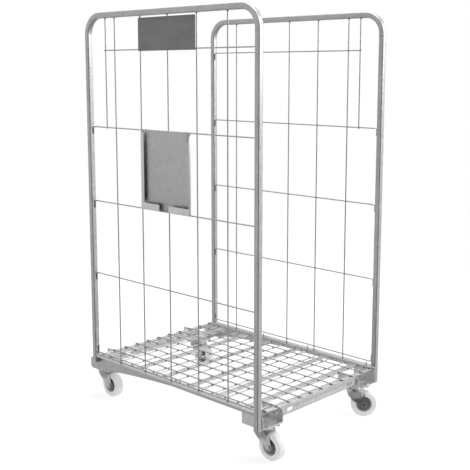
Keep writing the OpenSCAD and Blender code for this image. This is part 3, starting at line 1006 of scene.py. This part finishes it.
def corner_places():
    """Place of each caster's own axes: swivel axis up, wheel trailing towards -Y."""
    places = {}
    for corner in CORNERS:
        king = joint_place(corner + "_swivel")
        axle = JOINTS[corner + "_roll"]["axis"]
        turn = math.atan2(axle[1], axle[0])
        fixed = moved(king[0], king[1], 0)
        places[corner] = (fixed, fixed @ Matrix.Rotation(turn, 4, "Z"))
    return places


PLACES = corner_places()
AXLE_Z = joint_place("front_left_roll").z
TRAIL = joint_place("front_left_swivel").y - joint_place("front_left_roll").y
CROWN_TOP = cad("front_left_fork")[1].z - 8 * MM
FORK_R = 39 * MM
LEG_X = 22.3 * MM
PLATE_T = 3.5 * MM
KING_HOLE = 6.1 * MM
BALL_RING = 24 * MM


def mounting_hardware():
    bolts, nuts = bmesh.new(), bmesh.new()
    tip, top = cad("mounting_bolts")
    head_z, nut_z = top.z - BOLT_HEAD, cad("mounting_nuts")[0].z
    for index, corner in enumerate(CORNERS):
        for k, (sx, sy) in enumerate(((-1, -1), (1, -1), (-1, 1), (1, 1))):
            place = PLACES[corner][0] @ moved(sx * BOLT_DX, sy * BOLT_DY, 0)
            turned = place @ Matrix.Rotation(0.37 * index + 0.9 * k, 4, "Z")
            hex_form(bolts, turned @ moved(0, 0, head_z), BOLT_HEX, BOLT_HEAD)
            shank(bolts, place, BOLT_R, tip.z, head_z + MM, nut_z)
            hex_form(nuts, turned @ moved(0, 0, nut_z), BOLT_HEX, BOLT_NUT, BOLT_HOLE)
    form("mounting_bolts", bolts, BRIGHT_ZINC, smooth_angle=30)
    form("mounting_nuts", nuts, BRIGHT_ZINC, smooth_angle=30)


def caster_plate(corner):
    """Top plate with the pressed cup under it."""
    node = corner + "_plate"
    fixed = PLACES[corner][0]
    low, high = cad(node)
    holes = [circle_points(4.5 * MM, 24, (sx * BOLT_DX, sy * BOLT_DY)) for sx in (-1, 1) for sy in (-1, 1)]
    holes.append(circle_points(KING_HOLE, 32))
    outline = rounded_rect(high.x - low.x, high.y - low.y, 8 * MM, 8)
    top = plate(node, outline, holes, PLATE_T, fixed @ moved(0, 0, high.z - PLATE_T / 2), 0.6 * MM)
    bm = bmesh.new()
    rim_z, seat_z = low.z, high.z - PLATE_T + 0.5 * MM
    cup_in, cup_out = mm(18, 31)
    cup = [(cup_in, seat_z), (cup_in, rim_z, 1.2 * MM), (cup_out, rim_z, 2.2 * MM), (cup_out, seat_z)]
    lathe(bm, rounded_outline(cup, 0), fixed, 72)
    parts = [top, add_object("cup", to_mesh("cup", bm))]
    coat(CASTER_ZINC, *parts)
    joined_form(node, parts)


def ease(t):
    t = min(1.0, max(0.0, t))
    return t * t * (3 - 2 * t)


def fork_leg(bm, place, side):
    """One pressed leg: round under the crown, flat at the axle, its edges turned in."""
    top = CROWN_TOP + 2 * MM
    boss, root, narrowest, wall = mm(13, 34, 19.6, 2.6)
    rows, columns = 30, 22
    grid = {0: [], 1: []}
    for i in range(rows + 9):
        if i < rows:
            t = i / (rows - 1)
            z = top + (AXLE_Z - top) * t
            front = -(root + (TRAIL + boss - root) * ease(t * 0.9 + 0.1 * t * t))
            rear = -(TRAIL - boss) + (root + TRAIL - boss) * max(0.0, math.cos(t * math.pi / 2)) ** 0.7
        else:
            a = (i - rows + 1) / 9 * math.pi / 2 * 0.985
            t = 1.0
            z = AXLE_Z - boss * math.sin(a)
            front, rear = -TRAIL - boss * math.cos(a), -TRAIL + boss * math.cos(a)
        flat = ease(t * 1.5)
        for layer in (0, 1):
            row = []
            for j in range(columns):
                s = 2 * j / (columns - 1) - 1
                y = (front + rear) / 2 + (rear - front) / 2 * s
                radius = FORK_R + 0.2 * MM - layer * wall
                round_x = math.sqrt(max(radius * radius - y * y, narrowest ** 2))
                edge = max(0.0, abs(s) - 0.72) / 0.28
                flat_x = LEG_X - layer * wall - 0.5 * MM * edge * edge
                dish = -1.1 * MM * ease((0.62 - abs(s)) / 0.25) * ease((t - 0.25) * 3) * ease((0.86 - t) * 6)
                x = round_x * (1 - flat) + flat_x * flat + dish
                row.append(bm.verts.new(place @ Vector((side * x, y, z))))
            grid[layer].append(row)
    outer, inner = grid[0], grid[1]
    for layer in (outer, inner):
        for a, b in zip(layer, layer[1:]):
            for j in range(columns - 1):
                bm.faces.new((a[j], a[j + 1], b[j + 1], b[j]))
    border = [(0, j) for j in range(columns)] + [(i, columns - 1) for i in range(1, len(outer))]
    border += [(len(outer) - 1, j) for j in range(columns - 2, -1, -1)]
    border += [(i, 0) for i in range(len(outer) - 2, 0, -1)]
    for (i0, j0), (i1, j1) in zip(border, border[1:] + border[:1]):
        bm.faces.new((outer[i0][j0], outer[i1][j1], inner[i1][j1], inner[i0][j0]))


def caster_fork(corner):
    """Pressed fork: a dished crown round the balls and two formed legs."""
    place = PLACES[corner][1]
    low_z, rim_z, skirt = CROWN_TOP - 3.4 * MM, CROWN_TOP + 8 * MM, 36 * MM
    bm = bmesh.new()
    dish = [(KING_HOLE, CROWN_TOP, 0), (skirt, CROWN_TOP, 2.5 * MM), (skirt, rim_z, 0.8 * MM),
            (FORK_R, rim_z, 0.8 * MM), (FORK_R, low_z, 4.5 * MM), (KING_HOLE, low_z, 0)]
    lathe(bm, rounded_outline(dish, 0, 6), place, 96)
    for side in (-1, 1):
        fork_leg(bm, place, side)
    form(corner + "_fork", bm, CASTER_ZINC, smooth_angle=42)


def bearing_balls(corner):
    """The ring of sixteen balls between the cup and the fork crown."""
    node = corner + "_balls"
    low, high = cad(node)
    radius = (high.z - low.z) / 2
    bm = bmesh.new()
    for x, y in circle_points(BALL_RING, 16):
        centre = PLACES[corner][1] @ Vector((x, y, low.z + radius))
        bead(bm, centre, [radius] * 3, subdivisions=3, material_index=0)
    form(node, bm, BRIGHT_ZINC)


def axle_place(corner):
    return PLACES[corner][1] @ moved(0, -TRAIL, AXLE_Z) @ ALONG_X


def axle_hardware(corner):
    place = axle_place(corner)
    back = place @ Matrix.Rotation(math.pi, 4, "X")
    leg, tip = mm(22.5, 11)
    bm = bmesh.new()
    hex_form(bm, place @ moved(0, 0, -leg) @ Matrix.Rotation(math.pi, 4, "X"), AXLE_HEX, AXLE_HEAD)
    shank(bm, back, AXLE_R, -leg - tip, leg + MM, -leg)
    form(corner + "_axle_bolt", bm, BRIGHT_ZINC, smooth_angle=30)
    bm = bmesh.new()
    hex_form(bm, place @ moved(0, 0, leg), AXLE_HEX, AXLE_NUT, AXLE_HOLE)
    form(corner + "_axle_nut", bm, BRIGHT_ZINC, smooth_angle=30)


def caster_wheel(corner):
    """Moulded wheel: crowned tread with round shoulders, deep recess and hub on each side."""
    radius = AXLE_Z
    tread, hub, floor = mm(17, 18, 5)
    half = [(7.05 * MM, hub, 0.8 * MM), (14 * MM, hub, 1.2 * MM), (15 * MM, floor, 2.5 * MM),
            (29.5 * MM, floor, 3.5 * MM), (31 * MM, tread, 1.6 * MM), (radius - 1.6 * MM, tread, 6 * MM),
            (radius, 3 * MM, 18 * MM)]
    outline = half + [(r, -h, rr) for r, h, rr in reversed(half)]
    bm = bmesh.new()
    lathe(bm, rounded_outline(outline, 0, 5), axle_place(corner), 120)
    form(corner + "_wheel", bm, NYLON, smooth_angle=50)


def keep_cad_node(node, material):
    """A CAD node whose own shape is right gets the detailed material."""
    obj = frame["nodes"][node]
    obj.data.materials.clear()
    coat(material, obj)


# ---------------- build

for side in ("left", "right"):
    side_frame(side)
    cross_wires(side)
    upright_wires(side)
    side_rail(side)
sign_plate()
document_holder()
for end in ("front", "rear"):
    cross_member(end)
for corner in CORNERS:
    bracket(corner)
    caster_plate(corner)
    caster_fork(corner)
    axle_hardware(corner)
    caster_wheel(corner)
    bearing_balls(corner)
    keep_cad_node(corner + "_bush", BUSH_STEEL)
keep_cad_node("caster_kingpins", BRIGHT_ZINC)
mounting_hardware()
small_plates("rear_post_feet", [(side * TUBE_X, POST_Y) for side in (-1, 1)], TUBE, TUBE, 2.5 * MM)
REST_X = (cad("deck_rests")[0].x + cad("deck_rests")[1].x) / 2
small_plates("deck_rests", [(REST_X, y) for y in mm(-375, -75, 75, 375)], *mm(20, 28, 3))
hinge_rod()
hinge_lugs()
deck_wires()
deck_strips()
deck_hinge_eyes()
deck_hooks()


# ---------------- camera and light

def make_camera():
    yaw, pitch = math.radians(45.975), math.radians(8.756)
    data = bpy.data.cameras.new("camera")
    data.lens = 67.7
    data.sensor_width = 36
    data.shift_y = -0.06
    camera = add_object("camera", data)
    camera.location = Vector((-2.5121, -2.4405, 1.3769)) + SHIFT
    camera.rotation_euler = (math.pi / 2 - pitch, 0, -yaw)
    bpy.context.scene.camera = camera


def area_light(name, place, target, size, power):
    data = bpy.data.lights.new(name, "AREA")
    data.shape = "RECTANGLE"
    data.size, data.size_y = size
    data.energy = power
    light = add_object(name, data)
    light.location = place
    aim = Vector(target) - Vector(place)
    light.rotation_euler = aim.to_track_quat("-Z", "Y").to_euler()


# studio walls: a direction and how the light changes from there (from, to, first, last)
STUDIO = [((1, -0.10, 0.12), (-0.85, 0.85, 0.80, 1.06)),
          ((-0.70, -0.68, -0.10), (0.66, 0.93, 1.0, 0.14)),
          ((0, 0, 1), (-0.80, -0.20, 0.50, 1.0))]


def make_world():
    """White behind the object; brighter studio light from the front right than from the left."""
    world = bpy.data.worlds.new("studio")
    bpy.context.scene.world = world
    world.use_nodes = True
    world.node_tree.nodes.clear()
    studio = Nodes(world.node_tree)
    where = studio.node("TexCoord").outputs["Generated"]
    strength = None
    for direction, limits in STUDIO:
        dot = studio.node("VectorMath")
        dot.operation = "DOT_PRODUCT"
        studio.feed(dot.inputs[0], where)
        dot.inputs[1].default_value = Vector(direction).normalized()
        ramp = studio.spread(dot.outputs["Value"], *limits, interpolation="SMOOTHSTEP")
        strength = ramp if strength is None else studio.multiply(strength, ramp)
    light = studio.node("Background", Strength=strength)
    backdrop = studio.node("Background", Strength=1.0, Color=(1, 1, 1, 1))
    rays = studio.node("LightPath").outputs["Is Camera Ray"]
    mix = studio.node("MixShader")
    for socket, value in zip(mix.inputs, (rays, light.outputs[0], backdrop.outputs[0])):
        studio.feed(socket, value)
    studio.node("OutputWorld", Surface=mix.outputs[0])


def make_floor():
    """Round pale floor that fades into the white backdrop."""
    bm = bmesh.new()
    bmesh.ops.create_circle(bm, cap_ends=True, segments=96, radius=3.0)
    floor = add_object("floor", to_mesh("floor", bm))
    shader = Shader("floor_paper", Roughness=0.9, Specular_IOR_Level=0.1, Emission_Color=(1, 1, 1, 1),
                    Emission_Strength=0.76)
    where = shader.coordinates(False)
    paper = shader.noise(where, EVEN, 30, detail=3)
    shader.put("Base Color", shader.mix(paper, grey(0.30), grey(0.33)))
    floor.visible_glossy = False
    coat(shader.material, floor)


make_camera()
make_world()
make_floor()
area_light("key", (2.4, -3.0, 2.6), (0, 0, 0.8), (2.2, 2.2), 60)
area_light("top", (0.4, -0.2, 4.2), (0, 0, 0), (2.6, 2.6), 70)
bpy.context.scene.view_settings.view_transform = "Standard"
